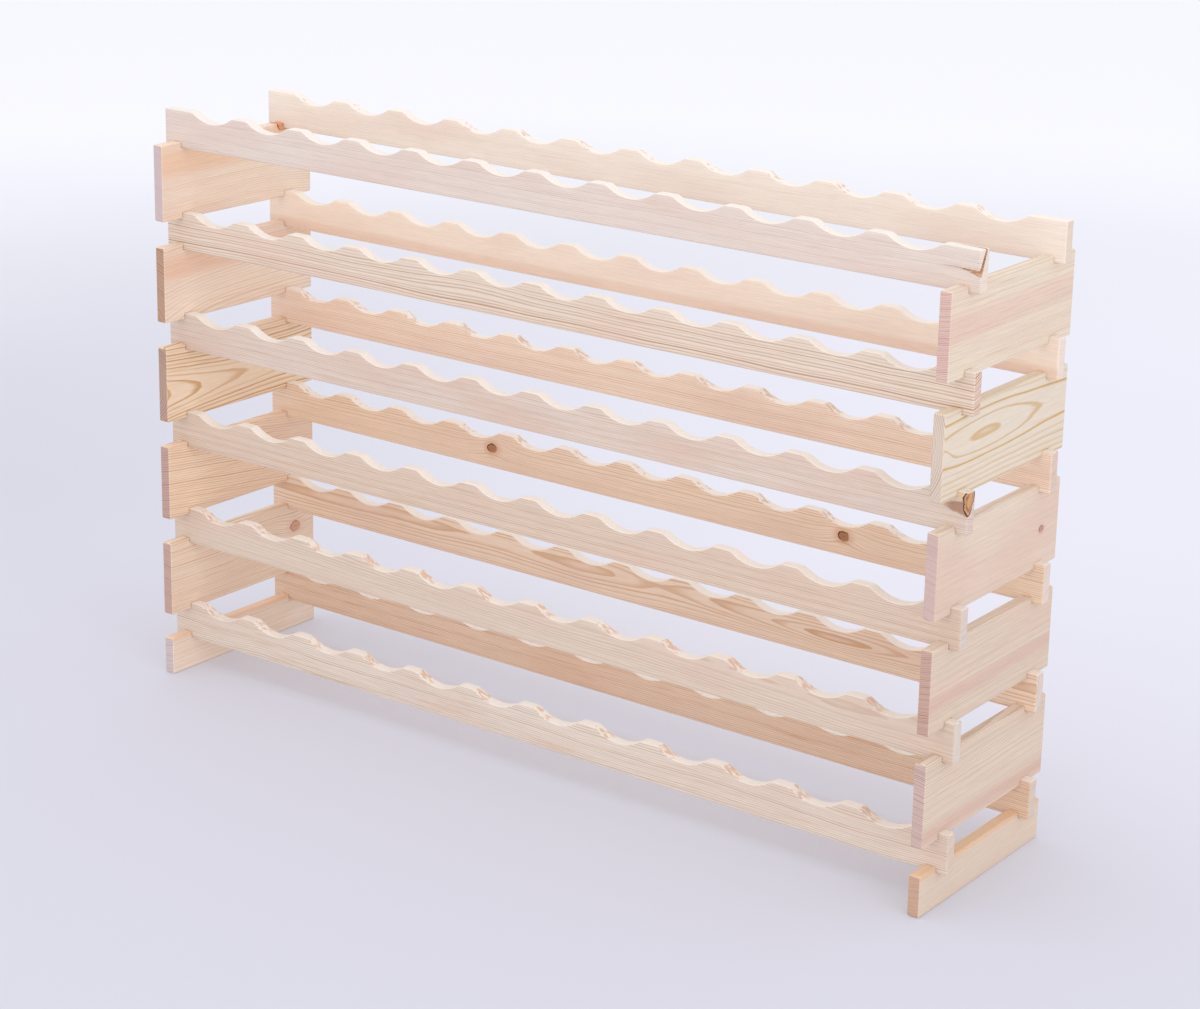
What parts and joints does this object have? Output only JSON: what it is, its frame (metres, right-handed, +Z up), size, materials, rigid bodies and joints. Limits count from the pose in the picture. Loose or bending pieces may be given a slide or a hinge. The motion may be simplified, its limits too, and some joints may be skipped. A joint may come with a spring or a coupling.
{
  "type": "wine rack",
  "caption": "Free-standing stackable wooden wine rack: scalloped rails that cradle lying bottles rest dry in notched end boards, tier on tier.",
  "frame": {"origin": "on the floor, at the middle of the rack's footprint", "axes": "+Z up; +X along the rails, towards the rack's right as seen from the front; -Y towards the front"},
  "size_m": [1.2, 0.275, 0.7585],
  "materials": {
    "pale_pine": "planed, unfinished pine",
    "pink_pine": "planed, unfinished pine",
    "peach_pine": "planed, unfinished pine",
    "golden_pine": "planed, unfinished pine",
    "amber_pine": "planed, unfinished pine"
  },
  "bodies": {
    "foot_boards": {"left_foot_board": "pale_pine", "right_foot_board": "pale_pine"},
    "rails_1": {"front_rail_1": "pale_pine", "back_rail_1": "amber_pine"},
    "end_boards_2": {"left_end_board_2": "peach_pine", "right_end_board_2": "pale_pine"},
    "rails_2": {"front_rail_2": "pale_pine", "back_rail_2": "golden_pine"},
    "end_boards_3": {"left_end_board_3": "peach_pine", "right_end_board_3": "pink_pine"},
    "rails_3": {"front_rail_3": "pale_pine", "back_rail_3": "amber_pine"},
    "end_boards_4": {"left_end_board_4": "golden_pine", "right_end_board_4": "pink_pine"},
    "rails_4": {"front_rail_4": "pink_pine", "back_rail_4": "pink_pine"},
    "end_boards_5": {"left_end_board_5": "peach_pine", "right_end_board_5": "golden_pine"},
    "rails_5": {"front_rail_5": "golden_pine", "back_rail_5": "peach_pine"},
    "end_boards_6": {"left_end_board_6": "peach_pine", "right_end_board_6": "pink_pine"},
    "top_front_rail": {"front_rail_6": "pink_pine"},
    "top_back_rail": {"back_rail_6": "pale_pine"}
  },
  "joints": [
    {"name": "rails_1_lift_off", "type": "slide", "parent": "foot_boards", "child": "rails_1", "axis": [0, 0, 1], "range_m": [0, 0.03]},
    {"name": "end_boards_2_lift_off", "type": "slide", "parent": "rails_1", "child": "end_boards_2", "axis": [0, 0, 1], "range_m": [0, 0.03]},
    {"name": "rails_2_lift_off", "type": "slide", "parent": "end_boards_2", "child": "rails_2", "axis": [0, 0, 1], "range_m": [0, 0.03]},
    {"name": "end_boards_3_lift_off", "type": "slide", "parent": "rails_2", "child": "end_boards_3", "axis": [0, 0, 1], "range_m": [0, 0.03]},
    {"name": "rails_3_lift_off", "type": "slide", "parent": "end_boards_3", "child": "rails_3", "axis": [0, 0, 1], "range_m": [0, 0.03]},
    {"name": "end_boards_4_lift_off", "type": "slide", "parent": "rails_3", "child": "end_boards_4", "axis": [0, 0, 1], "range_m": [0, 0.03]},
    {"name": "rails_4_lift_off", "type": "slide", "parent": "end_boards_4", "child": "rails_4", "axis": [0, 0, 1], "range_m": [0, 0.03]},
    {"name": "end_boards_5_lift_off", "type": "slide", "parent": "rails_4", "child": "end_boards_5", "axis": [0, 0, 1], "range_m": [0, 0.03]},
    {"name": "rails_5_lift_off", "type": "slide", "parent": "end_boards_5", "child": "rails_5", "axis": [0, 0, 1], "range_m": [0, 0.03]},
    {"name": "end_boards_6_lift_off", "type": "slide", "parent": "rails_5", "child": "end_boards_6", "axis": [0, 0, 1], "range_m": [0, 0.03]},
    {"name": "top_front_rail_lift_off", "type": "slide", "parent": "end_boards_6", "child": "top_front_rail", "axis": [0, 0, 1], "range_m": [0, 0.03]},
    {"name": "top_back_rail_lift_off", "type": "slide", "parent": "end_boards_6", "child": "top_back_rail", "axis": [0, 0, 1], "range_m": [0, 0.03]}
  ]
}
